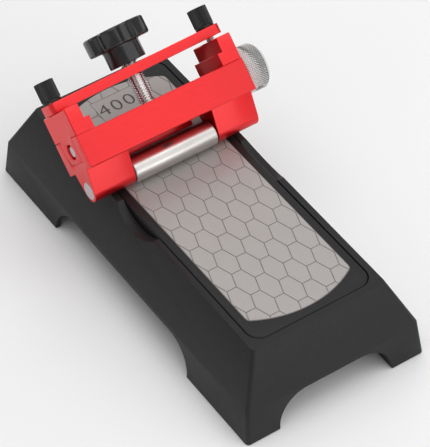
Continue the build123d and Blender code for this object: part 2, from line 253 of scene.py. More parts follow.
brightZinc = makeMetal("brightZinc", dark=(0.68, 0.68, 0.68), pale=(0.84, 0.84, 0.84),
                       rough=(0.14, 0.26), lineScale=900.0)
knurledNickel = makeMetal("knurledNickel", dark=(0.62, 0.62, 0.61), pale=(0.76, 0.76, 0.75),
                          rough=(0.32, 0.46), lineScale=1400.0, metallic=0.35)
# darker metal for the drum between the knurl studs: painted shade in the valleys
knurlValley = makeMetal("knurlValley", dark=(0.16, 0.16, 0.16), pale=(0.26, 0.26, 0.26),
                        rough=(0.3, 0.45), lineScale=1400.0, metallic=0.7)
darkOxide = makeMetal("darkOxide", dark=(0.025, 0.025, 0.027), pale=(0.06, 0.06, 0.063),
                      rough=(0.35, 0.5), lineScale=1100.0, metallic=0.8)
turnedBrass = makeMetal("turnedBrass", dark=(0.60, 0.42, 0.17), pale=(0.78, 0.58, 0.28),
                        rough=(0.2, 0.34), lineScale=700.0)
diamondGrit = makeDiamondGrit()
print("materials ready")


def asMesh(name, bm):
    bmesh.ops.recalc_face_normals(bm, faces=bm.faces)
    mesh = bpy.data.meshes.new(name)
    bm.to_mesh(mesh)
    bm.free()
    return mesh


def settle(name, mesh, node, materials, hides=True, sharp=32):
    piece = bpy.data.objects.new(name, mesh)
    scene.collection.objects.link(piece)
    if "custom_normal" in mesh.attributes:
        mesh.attributes.remove(mesh.attributes["custom_normal"])
    mesh.materials.clear()
    for material in materials:
        mesh.materials.append(material)
    mesh.shade_smooth()
    mesh.set_sharp_from_angle(angle=math.radians(sharp))
    around = {}
    for face in mesh.polygons:
        for key in face.edge_keys:
            around.setdefault(key, set()).add(face.material_index)
    for edge in mesh.edges:
        if len(around.get(edge.key, ())) > 1:
            edge.use_edge_sharp = True  # keeps flat faces flat beside their bevels
    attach(piece, bodyOf[node])
    if hides:
        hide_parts(node)


# a merged copy of a CAD node with its sharp edges rounded
def softened(node, width, steps, angle=50):
    bm = bmesh.new()
    bm.from_mesh(frame["nodes"][node].data)
    bmesh.ops.remove_doubles(bm, verts=bm.verts, dist=0.001 * mm)
    bmesh.ops.dissolve_limit(bm, angle_limit=math.radians(0.6), verts=bm.verts, edges=bm.edges)
    for face in bm.faces:
        face.material_index = 0
    bmesh.ops.recalc_face_normals(bm, faces=bm.faces)
    sharp = [edge for edge in bm.edges if edge.is_manifold and edge.is_convex
             and edge.calc_face_angle(0.0) > math.radians(angle)]
    # bevel faces take material slot 1; the red parts, stand and stone core put a lighter painted edge highlight
    # there
    bmesh.ops.bevel(bm, geom=sharp, offset=width * mm, offset_type="OFFSET", segments=steps,
                    profile=0.5, affect="EDGES", clamp_overlap=True, material=1)
    return bm


# corner points with every inner corner rounded
def rounded(points, radius, steps):
    soft = [Vector(points[0])]
    for before, corner, after in zip(points, points[1:], points[2:]):
        corner, before, after = Vector(corner), Vector(before), Vector(after)
        reachIn = min(radius, (before - corner).length * 0.45)
        reachOut = min(radius, (after - corner).length * 0.45)
        start = corner + (before - corner).normalized() * reachIn
        end = corner + (after - corner).normalized() * reachOut
        for step in range(steps + 1):
            t = step / steps
            soft.append(start * (1 - t) ** 2 + corner * 2 * t * (1 - t) + end * t ** 2)
    return soft + [Vector(points[-1])]


# a turned shape: profile points are (radius, height); radius 0 makes a pole, closed joins the ends
def turned(place, profile, sides, closed=False):
    bm = bmesh.new()
    rings = []
    for radius, height in profile:
        if radius < 1e-6:
            rings.append([bm.verts.new(place @ Vector((0, 0, height)))])
            continue
        rings.append([bm.verts.new(place @ Vector((radius * math.cos(fullTurn * side / sides),
                                                   radius * math.sin(fullTurn * side / sides), height)))
                      for side in range(sides)])
    pairs = list(zip(rings, rings[1:]))
    if closed:
        pairs.append((rings[-1], rings[0]))
    for lower, upper in pairs:
        for side in range(sides):
            after = (side + 1) % sides
            corners = [lower[side % len(lower)], lower[after % len(lower)],
                       upper[after % len(upper)], upper[side % len(upper)]]
            corners = list(dict.fromkeys(corners))
            if len(corners) > 2:
                bm.faces.new(corners)
    return bm


# a rod whose radius follows radiusAt(height, turn)
def rodWithThread(place, low, high, radiusAt, sides, ringStep):
    bm = bmesh.new()
    count = max(2, round((high - low) / ringStep))
    rings = []
    for index in range(count + 1):
        height = low + (high - low) * index / count
        ring = []
        for side in range(sides):
            radius = radiusAt(height, side / sides)
            angle = fullTurn * side / sides
            ring.append(bm.verts.new(place @ Vector((radius * math.cos(angle),
                                                     radius * math.sin(angle), height))))
        rings.append(ring)
    for lower, upper in zip(rings, rings[1:]):
        for side in range(sides):
            after = (side + 1) % sides
            bm.faces.new([lower[side], lower[after], upper[after], upper[side]])
    bm.faces.new(rings[0])
    bm.faces.new(rings[-1])
    return bm


threadShape = {"ridge": 0.8, "flank": 0.6}  # shares of half a pitch


# 0 in the root of a thread, 1 on its crest
def ridgeAt(height, turn, pitch, hand):
    phase = (height / pitch - hand * turn) % 1
    return min(1, max(0, (threadShape["ridge"] - abs(2 * phase - 1)) / threadShape["flank"]))


def startTree(name, inputs):
    tree = bpy.data.node_groups.new(name, "GeometryNodeTree")
    tree.interface.new_socket("Geometry", in_out="INPUT", socket_type="NodeSocketGeometry")
    for label, kind in inputs.items():
        tree.interface.new_socket(label, in_out="INPUT", socket_type="NodeSocket" + kind)
    tree.interface.new_socket("Geometry", in_out="OUTPUT", socket_type="NodeSocketGeometry")
    return tree, addNode(tree, "NodeGroupInput").outputs


def mathNode(tree, operation, first, second=0.0):
    return addNode(tree, "ShaderNodeMath", {0: first, 1: second}, operation=operation).outputs[0]


def endTree(tree, geometry, material):
    whole = addNode(tree, "GeometryNodeRealizeInstances", {"Geometry": geometry})
    painted = addNode(tree, "GeometryNodeSetMaterial", {"Geometry": whole.outputs[0],
                                                        "Material": material})
    addNode(tree, "NodeGroupOutput", {"Geometry": painted.outputs[0]})


# runs a tree on a seed mesh and gives back a plain mesh, moved to its place
def grow(name, tree, seed, values, place):
    maker = bpy.data.objects.new(name + "Maker", seed)
    scene.collection.objects.link(maker)
    modifier = maker.modifiers.new("grow", "NODES")
    modifier.node_group = tree
    for item in tree.interface.items_tree:
        if item.in_out == "INPUT" and item.name in values:
            modifier[item.identifier] = values[item.name]
    graph = bpy.context.evaluated_depsgraph_get()
    mesh = bpy.data.meshes.new_from_object(maker.evaluated_get(graph))
    maker.modifiers.remove(modifier)
    bpy.data.objects.remove(maker)
    mesh.transform(place)
    mesh.name = name
    return mesh


eye = {"place": Vector((0.711822, -0.442379, 0.899684)), "right": Vector((0.55447, 0.831818, -0.025338)),
       "down": Vector((0.59212, -0.415721, -0.69034)), "lens": 214.92}


def makeCamera():
    data = bpy.data.cameras.new("camera")
    data.lens = eye["lens"]
    data.sensor_width = 36.0
    data.clip_end = 10.0
    camera = bpy.data.objects.new("camera", data)
    scene.collection.objects.link(camera)
    right, up = eye["right"].normalized(), -eye["down"].normalized()
    turn = Matrix((right, up, right.cross(up))).transposed().to_4x4()
    camera.matrix_world = Matrix.Translation(eye["place"]) @ turn
    scene.camera = camera


floorLook = {"size": 6.0, "tone": (0.93, 0.93, 0.93), "speck": 400.0, "speckTone": 0.99}


def makeFloor():
    half = floorLook["size"] / 2
    bm = bmesh.new()
    bm.faces.new([bm.verts.new((x * half, y * half, 0)) for x, y in ((-1, -1), (1, -1), (1, 1), (-1, 1))])
    floor = bpy.data.objects.new("floor", asMesh("floor", bm))
    scene.collection.objects.link(floor)
    material, tree, shader, vector = startMaterial("floorPaper", 0.0)
    shader.inputs["Roughness"].default_value = 0.9
    pale = floorLook["tone"]
    shade = [value * floorLook["speckTone"] for value in pale]
    speck = ramp(tree, noise(tree, vector, floorLook["speck"]), [(0.0, shade), (1.0, pale)])
    tree.links.new(speck, shader.inputs["Base Color"])
    floor.data.materials.append(material)


worldLight = 0.32
lampAim = Vector((-0.01, 0.0, 0.04))
lamps = {"keyBox": {"place": (1.05, 0.59, 1.05), "size": (2.2, 2.0), "power": 13.0},
         "topBox": {"place": (-0.2, 0.0, 1.6), "size": (1.8, 1.8), "power": 13.0},
         "leftBox": {"place": (0.2, -1.5, 0.8), "size": (1.4, 1.0), "power": 2.0},
         "frontBox": {"place": (1.3, 0.1, 0.22), "size": (1.2, 0.5), "power": 2.6},
         "backBox": {"place": (-1.2, 0.7, 0.9), "size": (1.4, 1.2), "power": 3.5}}


def makeLight(name, place, size, power):
    data = bpy.data.lights.new(name, "AREA")
    data.shape = "RECTANGLE"
    data.size, data.size_y = size
    data.energy = power
    lamp = bpy.data.objects.new(name, data)
    scene.collection.objects.link(lamp)
    lamp.location = place
    lamp.rotation_mode = "QUATERNION"
    lamp.rotation_quaternion = (lampAim - Vector(place)).to_track_quat("-Z", "Y")


def makeLights():
    world = bpy.data.worlds.new("studio")
    scene.world = world
    world.use_nodes = True
    background = world.node_tree.nodes["Background"]
    background.inputs["Color"].default_value = (1.0, 1.0, 1.0, 1.0)
    background.inputs["Strength"].default_value = worldLight
    for name, lamp in lamps.items():
        makeLight(name, lamp["place"], lamp["size"], lamp["power"])
    scene.view_settings.view_transform = "Standard"


makeCamera()
makeFloor()
makeLights()
print("camera, floor and lights ready")


standLook = {"edge": 0.5, "steps": 3}
shell = asMesh("standShell", softened("stand_shell", standLook["edge"], standLook["steps"]))
settle("standShell", shell, "stand_shell", [standPlastic, standEdgeHighlight])

padLook = {"rings": (2.2, 4.2), "ringHalf": 0.5, "ringFloor": 0.25, "ringDepth": 0.35, "edge": 0.4,
           "soft": 0.25, "sides": 48}


def makeFootPad(node):
    low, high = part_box(node)
    centre = (low + high) / 2
    place = Matrix.Translation((centre.x, centre.y, low.z)) @ Matrix.Scale(mm, 4)
    radius, thick = (high.x - low.x) / 2 / mm, (high.z - low.z) / mm
    half, floor, depth, edge = (padLook[key] for key in ("ringHalf", "ringFloor", "ringDepth", "edge"))
    corners = [(0, 0)]
    for ring in padLook["rings"]:
        corners += [(ring - half, 0), (ring - floor, depth), (ring + floor, depth), (ring + half, 0)]
    corners += [(radius - edge, 0), (radius, edge), (radius, thick), (0, thick)]
    return turned(place, rounded(corners, padLook["soft"], 2), padLook["sides"])


for node in [name for name in frame["nodes"] if name.startswith("foot_pad")]:
    name = "footPad" + "".join(word.capitalize() for word in node.split("_")[2:])
    settle(name, asMesh(name, makeFootPad(node)), node, [footRubber])
print("stand ready")


coreLook = {"edge": 0.25, "steps": 2, "angle": 40}
core = asMesh("stoneCore", softened("stone_core", coreLook["edge"], coreLook["steps"], coreLook["angle"]))
settle("stoneCore", core, "stone_core", [corePlastic, standEdgeHighlight])

plate = {"tileWidth": 14.775, "rowPitch": 7.39, "groove": 0.42, "relief": 0.16, "margin": 0.35,
         "columns": 14, "rows": 10, "startX": 4.11, "startY": -0.36,
         "labelX": -70.6, "labelY": -0.7, "labelLong": 14.6, "labelWide": 22.0,
         "numberX": -71.0, "numberY": -1.75, "numberHigh": 7.0, "numberGap": 1.15,
         "coarseNumber": ("400", 18.6), "fineNumber": ("1000", 19.5), "inkThickness": 0.02,
         "thinner": -0.008, "seat": 0.01}


def makeTileTree():
    tree, given = startTree("hexTiles", {"Tile Width": "Float", "Row Pitch": "Float", "Groove": "Float",
                                         "Relief": "Float", "Columns": "Int", "Rows": "Int",
                                         "Start": "Vector", "Label Place": "Vector",
                                         "Label Size": "Vector"})
    index = addNode(tree, "GeometryNodeInputIndex").outputs[0]
    row = mathNode(tree, "FLOOR", mathNode(tree, "DIVIDE", index, given["Columns"]))
    column = mathNode(tree, "MODULO", index, given["Columns"])
    odd = mathNode(tree, "MULTIPLY", mathNode(tree, "MODULO", row, 2.0), 0.5)
    across = mathNode(tree, "MULTIPLY", mathNode(tree, "ADD", column, odd), given["Tile Width"])
    along = mathNode(tree, "MULTIPLY", row, given["Row Pitch"])
    spot = addNode(tree, "ShaderNodeCombineXYZ", {0: across, 1: along}).outputs[0]
    spot = addNode(tree, "ShaderNodeVectorMath", {0: spot, 1: given["Start"]}).outputs[0]
    count = mathNode(tree, "MULTIPLY", given["Columns"], given["Rows"])
    points = addNode(tree, "GeometryNodePoints", {"Count": count, "Position": spot})
    tile = addNode(tree, "GeometryNodeMeshCylinder", {"Vertices": 6, "Radius": 1.0, "Depth": 1.0})
    halfLong = mathNode(tree, "DIVIDE", mathNode(tree, "SUBTRACT", given["Tile Width"], given["Groove"]),
                        math.sqrt(3.0))
    slantGap = mathNode(tree, "MULTIPLY", given["Groove"], 0.87)
    halfWide = mathNode(tree, "DIVIDE", mathNode(tree, "SUBTRACT", given["Row Pitch"], slantGap), 1.5)
    turn = addNode(tree, "GeometryNodeTransform", {"Geometry": tile.outputs["Mesh"],
                                                   "Rotation": (0.0, 0.0, math.radians(30))})
    size = addNode(tree, "ShaderNodeCombineXYZ", {0: halfLong, 1: halfWide, 2: given["Relief"]})
    sized = addNode(tree, "GeometryNodeTransform", {"Geometry": turn.outputs[0], "Scale": size.outputs[0]})
    tiles = addNode(tree, "GeometryNodeInstanceOnPoints", {"Points": points.outputs[0],
                                                           "Instance": sized.outputs[0]})
    tiles = addNode(tree, "GeometryNodeRealizeInstances", {"Geometry": tiles.outputs[0]})
    clipped = addNode(tree, "GeometryNodeMeshBoolean", operation="INTERSECT", solver="EXACT")
    tree.links.new(tiles.outputs[0], clipped.inputs["Mesh 2"])
    tree.links.new(given["Geometry"], clipped.inputs["Mesh 2"])
    cutter = addNode(tree, "GeometryNodeMeshCube", {"Size": given["Label Size"]})
    gap = addNode(tree, "ShaderNodeVectorMath", {0: (1.0, 1.0, 8.0), "Scale": given["Groove"]},
                  operation="SCALE")
    wider = addNode(tree, "ShaderNodeVectorMath", {0: given["Label Size"], 1: gap.outputs[0]})
    gapBox = addNode(tree, "GeometryNodeMeshCube", {"Size": wider.outputs[0]})
    cutBox = addNode(tree, "GeometryNodeTransform", {"Geometry": gapBox.outputs["Mesh"],
                                                     "Translation": given["Label Place"]})
    label = addNode(tree, "GeometryNodeTransform", {"Geometry": cutter.outputs["Mesh"],
                                                    "Translation": given["Label Place"]})
    cut = addNode(tree, "GeometryNodeMeshBoolean", {"Mesh 1": clipped.outputs["Mesh"]},
                  operation="DIFFERENCE", solver="EXACT")
    tree.links.new(cutBox.outputs[0], cut.inputs["Mesh 2"])
    joined = addNode(tree, "GeometryNodeJoinGeometry")
    tree.links.new(cut.outputs["Mesh"], joined.inputs[0])
    tree.links.new(label.outputs[0], joined.inputs[0])
    endTree(tree, joined.outputs[0], diamondGrit)
    return tree


# the plate below its tiles: a copy of the sheet, thinner by the relief on its working side
def makePlateBase(node, up):
    bm = bmesh.new()
    bm.from_mesh(frame["nodes"][node].data)
    bmesh.ops.remove_doubles(bm, verts=bm.verts, dist=0.001 * mm)
    low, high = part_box(node)
    for vertex in bm.verts:
        if up > 0 and vertex.co.z > high.z - 0.1 * mm:
            vertex.co.z -= plate["relief"] * mm
        if up < 0 and vertex.co.z < low.z + 0.1 * mm:
            vertex.co.z += plate["relief"] * mm
    return bm


# the outline that trims the tiles, in millimetres about the plate's face
def makeTrim(node):
    bm = bmesh.new()
    bm.from_mesh(frame["nodes"][node].data)
    bmesh.ops.remove_doubles(bm, verts=bm.verts, dist=0.001 * mm)
    low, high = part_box(node)
    size, centre = high - low, (high + low) / 2
    for vertex in bm.verts:
        vertex.co = (vertex.co - centre) / mm
        vertex.co.x *= 1 - 2 * plate["margin"] * mm / size.x
        vertex.co.y *= 1 - 2 * plate["margin"] * mm / size.y
        vertex.co.z *= 4
    return asMesh("trim", bm)


def makeNumber(name, text, wide, face, up):
    curve = bpy.data.curves.new(name, "FONT")
    curve.body = text
    curve.align_x, curve.align_y = "CENTER", "CENTER"
    curve.space_character = plate["numberGap"]
    curve.offset = plate["thinner"]
    writer = bpy.data.objects.new(name + "Writer", curve)
    scene.collection.objects.link(writer)
    graph = bpy.context.evaluated_depsgraph_get()
    mesh = bpy.data.meshes.new_from_object(writer.evaluated_get(graph))
    bpy.data.objects.remove(writer)
    bm = bmesh.new()
    bm.from_mesh(mesh)
    lowX, highX = min(vertex.co.x for vertex in bm.verts), max(vertex.co.x for vertex in bm.verts)
    lowY, highY = min(vertex.co.y for vertex in bm.verts), max(vertex.co.y for vertex in bm.verts)
    scaleX, scaleY = wide / (highX - lowX), plate["numberHigh"] / (highY - lowY)
    for vertex in bm.verts:
        vertex.co.x = (vertex.co.x - (lowX + highX) / 2) * scaleX
        vertex.co.y = (vertex.co.y - (lowY + highY) / 2) * scaleY
    raised = bmesh.ops.extrude_face_region(bm, geom=bm.faces[:])["geom"]
    for vertex in [item for item in raised if isinstance(item, bmesh.types.BMVert)]:
        vertex.co.z += plate["inkThickness"]
    reading = Matrix(((0, -up, 0), (1, 0, 0), (0, 0, up))).to_4x4()
    spot = Matrix.Translation((plate["numberX"] * mm, plate["numberY"] * mm,
                               face - up * (plate["inkThickness"] / 2 + plate["seat"] / 2) * mm))
    bm.transform(spot @ reading @ Matrix.Scale(mm, 4))
    return asMesh(name, bm)


tileTree = makeTileTree()
for side, node, up in (("coarse", "diamond_sheet_coarse", 1), ("fine", "diamond_sheet_fine", -1)):
    text, wide = plate[side + "Number"]
    low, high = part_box(node)
    face = high.z if up > 0 else low.z
    base = asMesh(side + "Plate", makePlateBase(node, up))
    settle(side + "Plate", base, node, [grooveGrey])
    halfRows = plate["rows"] // 2
    halfColumns = plate["columns"] // 2
    values = {"Tile Width": plate["tileWidth"], "Row Pitch": plate["rowPitch"],
              "Groove": plate["groove"], "Relief": plate["relief"],
              "Columns": plate["columns"], "Rows": plate["rows"],
              "Start": (plate["startX"] - halfColumns * plate["tileWidth"],
                        plate["startY"] - halfRows * plate["rowPitch"], 0.0),
              "Label Place": (plate["labelX"], plate["labelY"], 0.0),
              "Label Size": (plate["labelLong"], plate["labelWide"], plate["relief"])}
    tileMiddle = face - up * (plate["relief"] / 2 + plate["seat"]) * mm
    tilePlace = Matrix.Translation((0, 0, tileMiddle)) @ Matrix.Scale(mm, 4)
    tiles = grow(side + "Tiles", tileTree, makeTrim(node), values, tilePlace)
    settle(side + "Tiles", tiles, node, [diamondGrit], hides=False)
    number = makeNumber(side + "Number", text, wide, face, up)
    settle(side + "Number", number, node, [numberInk], hides=False)
print("stone ready")


redLook = {"edge": 0.35, "jawEdge": 0.25, "steps": 3}
for node, name, edge in (("guide_frame", "guideFrame", redLook["edge"]),
                         ("jaw_left", "jawLeft", redLook["jawEdge"]),
                         ("jaw_right", "jawRight", redLook["jawEdge"]),
                         ("bridge_bar", "bridgeBar", redLook["edge"])):
    settle(name, asMesh(name, softened(node, edge, redLook["steps"])), node,
           [redAnodised, redEdgeHighlight])
print("red parts ready")


rollerLook = {"soft": 0.35, "bore": 2.55, "chamfer": 0.5, "axleChamfer": 0.4, "axleSoft": 0.15}


def makeRoller():
    low, high = span("roller", rollerPlace)
    radius, bore, chamfer = high.x, rollerLook["bore"], rollerLook["chamfer"]
    corners = [(bore, low.z), (radius - chamfer, low.z), (radius, low.z + chamfer),
               (radius, high.z - chamfer), (radius - chamfer, high.z), (bore, high.z)]
    profile = rounded(corners, rollerLook["soft"], 3)
    return turned(rollerPlace, profile, 128, closed=True)


def makeAxle():
    low, high = span("roller_axle", rollerPlace)
    radius, chamfer = high.x, rollerLook["axleChamfer"]
    corners = [(0, low.z), (radius - chamfer, low.z), (radius, low.z + chamfer),
               (radius, high.z - chamfer), (radius - chamfer, high.z), (0, high.z)]
    return turned(rollerPlace, rounded(corners, rollerLook["axleSoft"], 2), 48)


bushLook = {"bore": 2.55, "boreDepth": 10.0, "chamfer": 0.4, "dimple": 0.7, "dimpleLip": 0.5,
            "dimpleDepth": 0.35, "soft": 0.15}


def makeBush(node):
    low, high = span(node, rollerPlace)
    side = 1 if high.z > 0 else -1
    inner, outer = (low.z, high.z) if side > 0 else (high.z, low.z)
    radius, bore, chamfer = high.x, bushLook["bore"], bushLook["chamfer"]
    floor, dimple = inner + side * bushLook["boreDepth"], bushLook["dimple"]
    dimpleFloor = outer - side * bushLook["dimpleDepth"]
    corners = [(0, floor), (bore, floor), (bore, inner), (radius, inner), (radius, outer - side * chamfer),
               (radius - chamfer, outer), (dimple + bushLook["dimpleLip"], outer),
               (dimple, dimpleFloor), (0, dimpleFloor)]
    return turned(rollerPlace, rounded(corners, bushLook["soft"], 2), 64)


settle("rollerTube", asMesh("rollerTube", makeRoller()), "roller", [polishedSteel])
settle("axlePin", asMesh("axlePin", makeAxle()), "roller_axle", [turnedSteel])
for hand in ("left", "right"):
    bush = asMesh(hand + "Bush", makeBush("roller_bush_" + hand))
    settle(hand + "Bush", bush, "roller_bush_" + hand, [turnedSteel])
print("roller ready")


# the lead screw has a left-hand thread on one side and a right-hand one on the other
leadLook = {"crest": 3.0, "root": 2.45, "pitch": 1.25, "chamfer": 0.6, "journal": 6.4, "groove": 2.5,
            "grooveStart": 5.1, "grooveEnd": 5.95, "threadEnd": 44.6, "ring": 0.155, "sides": 32}


def leadRadius(low, high):
    def radiusAt(height, turn):
        reach = abs(height)
        look = leadLook
        if look["grooveStart"] < reach < look["grooveEnd"]:
            return look["groove"]
        plain = reach < look["journal"] or height > look["threadEnd"]
        ridge = 1 if plain else ridgeAt(height, turn, look["pitch"], math.copysign(1, height))
        radius = look["root"] + (look["crest"] - look["root"]) * ridge
        return min(radius, look["crest"] - look["chamfer"] + min(height - low, high - height))
    return radiusAt


low, high = span("lead_screw", leadPlace)
leadScrew = rodWithThread(leadPlace, low.z, high.z, leadRadius(low.z, high.z), leadLook["sides"],
                          leadLook["ring"])
settle("leadScrew", asMesh("leadScrew", leadScrew), "lead_screw", [turnedSteel])

smallParts = {"edge": 0.1, "steps": 2}
for node, name, slot, material in (("centre_block", "centreBlock", "brass", turnedBrass),
                                   ("screw_clip_left", "clipLeft", "dark_steel", darkOxide),
                                   ("screw_clip_right", "clipRight", "dark_steel", darkOxide),
                                   ("block_screw_rear", "blockScrewRear", "dark_steel", darkOxide),
                                   ("block_screw_front", "blockScrewFront", "dark_steel", darkOxide),
                                   ("knob_set_screw", "knobSetScrew", "dark_steel", darkOxide)):
    small = asMesh(name, softened(node, smallParts["edge"], smallParts["steps"]))
    settle(name, small, node, [material, material])
print("lead screw ready")


knobLook = {"bore": 3.0, "bevel": 1.5, "innerBevel": 0.6, "soft": 0.3, "ridge": 0.34, "columns": 54,
            "rowPitch": 0.62, "dish": 0.35, "dishSlope": 0.8, "hubRadius": 5.0, "holeRadius": 1.52,
            "holeLip": 2.0}


def makeKnobBody(place, low, high):
    radius = high.x - knobLook["ridge"]
    bevel, inner = knobLook["bevel"], knobLook["innerBevel"]
    hub, dishFloor = knobLook["hubRadius"], high.z - knobLook["dish"]
    corners = [(knobLook["bore"], low.z), (radius - inner, low.z), (radius, low.z + inner),
               (radius, high.z - bevel), (high.x - bevel, high.z), (hub + knobLook["dishSlope"], high.z),
               (hub, dishFloor), (knobLook["bore"], dishFloor)]
    return turned(place, rounded(corners, knobLook["soft"], 3), 120, closed=True)


# small pyramids in staggered rows round a drum
def makeKnurlTree():
    tree, given = startTree("knurl", {"Radius": "Float", "Ridge": "Float", "Columns": "Int", "Rows": "Int",
                                      "Row Pitch": "Float", "Start": "Float", "Hole": "Vector",
                                      "Lip": "Float"})
    index = addNode(tree, "GeometryNodeInputIndex").outputs[0]
    row = mathNode(tree, "FLOOR", mathNode(tree, "DIVIDE", index, given["Columns"]))
    column = mathNode(tree, "MODULO", index, given["Columns"])
    odd = mathNode(tree, "MULTIPLY", mathNode(tree, "MODULO", row, 2.0), 0.5)
    part = mathNode(tree, "DIVIDE", mathNode(tree, "ADD", column, odd), given["Columns"])
    angle = mathNode(tree, "MULTIPLY", part, fullTurn)
    height = mathNode(tree, "ADD", mathNode(tree, "MULTIPLY", row, given["Row Pitch"]), given["Start"])
    outward = addNode(tree, "ShaderNodeCombineXYZ", {0: mathNode(tree, "COSINE", angle),
                                                     1: mathNode(tree, "SINE", angle)}).outputs[0]
    ring = addNode(tree, "ShaderNodeVectorMath", {0: outward, "Scale": given["Radius"]}, operation="SCALE")
    lift = addNode(tree, "ShaderNodeCombineXYZ", {2: height})
    spot = addNode(tree, "ShaderNodeVectorMath", {0: ring.outputs[0], 1: lift.outputs[0]})
    count = mathNode(tree, "MULTIPLY", given["Columns"], given["Rows"])
    points = addNode(tree, "GeometryNodePoints", {"Count": count, "Position": spot.outputs[0]})
    place = addNode(tree, "GeometryNodeInputPosition").outputs[0]
    gap = addNode(tree, "ShaderNodeVectorMath", {0: place, 1: given["Hole"]}, operation="DISTANCE")
    near = addNode(tree, "FunctionNodeCompare", {0: gap.outputs["Value"], 1: given["Lip"]},
                   operation="LESS_THAN")
    points = addNode(tree, "GeometryNodeDeleteGeometry", {"Geometry": points.outputs[0],
                                                          "Selection": near.outputs[0]})
    studLong = mathNode(tree, "MULTIPLY", given["Row Pitch"], 1.04)
    studTop = mathNode(tree, "MULTIPLY", given["Row Pitch"], 0.34)
    stud = addNode(tree, "GeometryNodeMeshCone", {"Vertices": 4, "Radius Top": studTop,
                                                  "Radius Bottom": studLong, "Depth": given["Ridge"]})
    turn = addNode(tree, "FunctionNodeAlignRotationToVector", {"Vector": outward}, axis="Z",
                   pivot_axis="AUTO")
    studs = addNode(tree, "GeometryNodeInstanceOnPoints", {"Points": points.outputs[0],
                                                           "Instance": stud.outputs["Mesh"],
                                                           "Rotation": turn.outputs[0]})
    endTree(tree, studs.outputs[0], knurledNickel)
    return tree


# bores a round hole into a solid, outward from its axis at the given spot
def makeHoleTree():
    tree, given = startTree("sideHole", {"Spot": "Vector", "Turn": "Vector", "Radius": "Float",
                                         "Depth": "Float"})
    drill = addNode(tree, "GeometryNodeMeshCylinder", {"Vertices": 32, "Radius": given["Radius"],
                                                       "Depth": given["Depth"]})
    placed = addNode(tree, "GeometryNodeTransform", {"Geometry": drill.outputs["Mesh"],
                                                     "Translation": given["Spot"],
                                                     "Rotation": given["Turn"]})
    cut = addNode(tree, "GeometryNodeMeshBoolean", {"Mesh 1": given["Geometry"]}, operation="DIFFERENCE",
                  solver="EXACT")
    tree.links.new(placed.outputs[0], cut.inputs["Mesh 2"])
    endTree(tree, cut.outputs["Mesh"], knurledNickel)
    return tree


low, high = span("knurled_knob", leadPlace)
screwLow, screwHigh = span("knob_set_screw", leadPlace)
holeSpot = (screwLow + screwHigh) / 2
holeAngle = math.atan2(holeSpot.y, holeSpot.x)
holeMiddle = (knobLook["bore"] + high.x) / 2
holeCentre = Vector((holeMiddle * math.cos(holeAngle), holeMiddle * math.sin(holeAngle), holeSpot.z))
holeMouth = Vector((high.x * math.cos(holeAngle), high.x * math.sin(holeAngle), holeSpot.z))
body = asMesh("knobBodySolid", makeKnobBody(Matrix.Identity(4), low, high))
body = grow("knobBody", makeHoleTree(), body,
            {"Spot": holeCentre, "Turn": (0.0, math.pi / 2, holeAngle), "Radius": knobLook["holeRadius"],
             "Depth": high.x - knobLook["bore"] + 1.0}, leadPlace)
settle("knobBody", body, "knurled_knob", [knurledNickel, knurlValley])
inward = leadPlace.inverted()
# drum faces under the studs take the darker metal, painted shade between the studs
for face in body.polygons:
    spot = inward @ face.center
    onDrum = math.hypot(spot.x, spot.y) > high.x - knobLook["ridge"] - 0.15
    face.material_index = 1 if onDrum and spot.z < high.z - knobLook["bevel"] else 0
knurlStart = low.z + knobLook["innerBevel"] + knobLook["rowPitch"]
knurlRows = int((high.z - knobLook["bevel"] - knurlStart) / knobLook["rowPitch"])
knurl = grow("knobKnurl", makeKnurlTree(), bpy.data.meshes.new("knurlSeed"),
             {"Radius": high.x - knobLook["ridge"] * 1.05, "Ridge": knobLook["ridge"],
              "Columns": knobLook["columns"], "Rows": knurlRows, "Row Pitch": knobLook["rowPitch"],
              "Start": knurlStart, "Hole": holeMouth, "Lip": knobLook["holeLip"]}, leadPlace)
settle("knobKnurl", knurl, "knurled_knob", [knurledNickel], hides=False, sharp=20)
print("knurled knob ready")


thumbLook = {"crest": 2.0, "root": 1.62, "pitch": 0.7, "chamfer": 0.45, "ring": 0.0875, "sides": 24,
             "ribs": 28, "rib": 0.78, "ribDepth": 0.42, "ribSink": 0.12, "ribStart": 0.1,
             "ribShort": 0.25, "bevel": 0.8, "chamferBelow": 0.3, "soft": 0.25, "dish": 0.4,
             "dishTop": 3.0, "dishBottom": 2.6, "play": 0.02, "washerBore": 2.2, "washerSoft": 0.2}


def thumbRadius(low, high):
    def radiusAt(height, turn):
        ridge = ridgeAt(height, turn, thumbLook["pitch"], 1)
        radius = thumbLook["root"] + (thumbLook["crest"] - thumbLook["root"]) * ridge
        return min(radius, thumbLook["crest"] - thumbLook["chamfer"] + min(height - low, high - height))
    return radiusAt


# the head of a thumb screw; its bore ends at the top of the stud
def makeThumbHead(place, low, high, top):
    radius, bevel, chamfer = high.x - thumbLook["ribDepth"], thumbLook["bevel"], thumbLook["chamferBelow"]
    bore, dishFloor = thumbLook["crest"] + thumbLook["play"], high.z - thumbLook["dish"]
    corners = [(0, top), (bore, top), (bore, low.z), (radius - chamfer, low.z), (radius, low.z + chamfer),
               (radius, high.z - bevel), (high.x - bevel, high.z), (thumbLook["dishTop"], high.z),
               (thumbLook["dishBottom"], dishFloor), (0, dishFloor)]
    return turned(place, rounded(corners, thumbLook["soft"], 3), 72)


